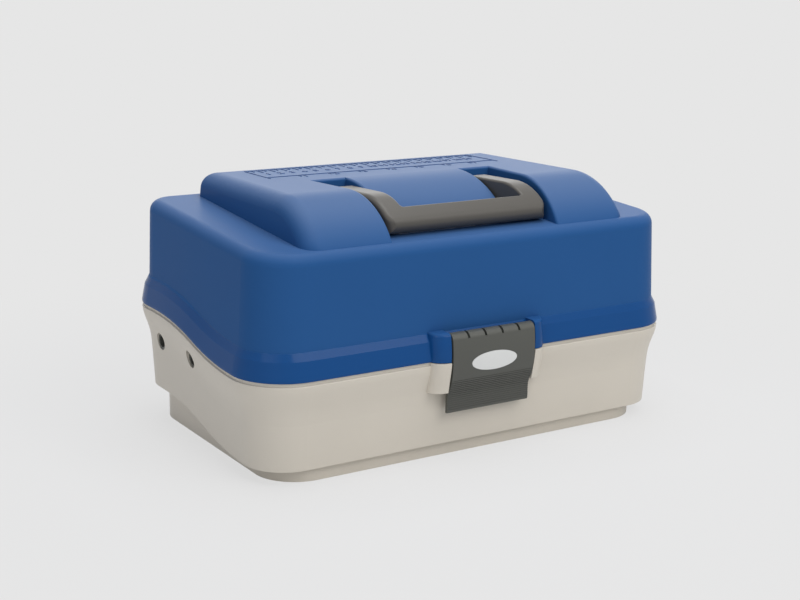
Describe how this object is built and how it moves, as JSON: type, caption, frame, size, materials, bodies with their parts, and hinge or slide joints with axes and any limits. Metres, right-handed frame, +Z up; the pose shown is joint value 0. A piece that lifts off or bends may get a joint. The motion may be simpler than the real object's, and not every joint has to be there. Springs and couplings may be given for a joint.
{
  "type": "fishing tackle box",
  "caption": "Plastic tackle box with a hinged lid, folding carrying handle, front latch and cantilever trays that rise as the lid opens.",
  "frame": {"origin": "centre of the box in plan, on the surface that its foot stands on", "axes": "+X along the length to the right, front with latch faces -Y, +Z up"},
  "size_m": [0.36, 0.2394, 0.187],
  "materials": {
    "tub": "fine satin moulded plastic, warm light grey",
    "lid": "fine textured moulded plastic, blue, with a glossy band above the seam",
    "grey": "satin moulded plastic, dark warm grey",
    "tray": "satin moulded plastic, light grey",
    "badge": "gloss white, bare",
    "steel": "bright zinc plated steel"
  },
  "bodies": {
    "root": {"tub_shell": "tub", "hinge_pin_left": "steel", "hinge_pin_right": "steel"},
    "lid": {"lid_shell": "lid", "latch_pin": "steel", "lid_link_rivets": "steel"},
    "handle": {"handle": "grey"},
    "latch": {"latch_plate": "grey", "latch_badge": "badge"},
    "back_arms": {"back_arm_left": "grey", "back_arm_right": "grey"},
    "front_arms": {"front_arm_left": "grey", "front_arm_right": "grey"},
    "lower_tray": {"lower_tray": "tray", "lower_tray_rivets": "steel", "lower_front_divider_1": "tray", "lower_front_divider_2": "tray", "lower_back_divider_1": "tray", "lower_back_divider_2": "tray", "lower_back_divider_3": "tray"},
    "upper_tray": {"upper_tray": "tray", "upper_tray_rivets": "steel", "upper_front_divider_1": "tray", "upper_front_divider_2": "tray", "upper_front_divider_3": "tray", "upper_back_divider_1": "tray", "upper_back_divider_2": "tray"},
    "lid_links": {"lid_link_left": "grey", "lid_link_right": "grey"}
  },
  "joints": [
    {"name": "lid_hinge", "type": "hinge", "parent": "root", "child": "lid", "pos_m": [0, 0.115, 0.091], "axis": [-1, 0, 0], "range_deg": [0, 95]},
    {"name": "handle_lift", "type": "hinge", "parent": "lid", "child": "handle", "pos_m": [0, -0.012, 0.175], "axis": [-1, 0, 0], "range_deg": [0, 100]},
    {"name": "latch_flip", "type": "hinge", "parent": "lid", "child": "latch", "pos_m": [0, -0.113, 0.088], "axis": [-1, 0, 0], "range_deg": [0, 110]},
    {"name": "back_arm_swing", "type": "hinge", "parent": "root", "child": "back_arms", "pos_m": [0, 0.0593, 0.0656], "axis": [-1, 0, 0], "range_deg": [0, 95]},
    {"name": "front_arm_swing", "type": "hinge", "parent": "root", "child": "front_arms", "pos_m": [0, 0.0049, 0.0656], "axis": [-1, 0, 0], "range_deg": [0, 95]},
    {"name": "lower_tray_level", "type": "hinge", "parent": "back_arms", "child": "lower_tray", "pos_m": [0, 0.02985, 0.0826], "axis": [-1, 0, 0], "range_deg": [-95, 0]},
    {"name": "upper_tray_level", "type": "hinge", "parent": "back_arms", "child": "upper_tray", "pos_m": [0, 0.00041, 0.0996], "axis": [-1, 0, 0], "range_deg": [-95, 0]},
    {"name": "lid_link_level", "type": "hinge", "parent": "lid", "child": "lid_links", "pos_m": [0, 0.05611, 0.125], "axis": [-1, 0, 0], "range_deg": [-95, 0]}
  ],
  "couplings": [
    {"joint": "back_arm_swing", "follows": "lid_hinge", "ratio": 1},
    {"joint": "front_arm_swing", "follows": "lid_hinge", "ratio": 1},
    {"joint": "lower_tray_level", "follows": "lid_hinge", "ratio": -1},
    {"joint": "upper_tray_level", "follows": "lid_hinge", "ratio": -1},
    {"joint": "lid_link_level", "follows": "lid_hinge", "ratio": -1}
  ]
}
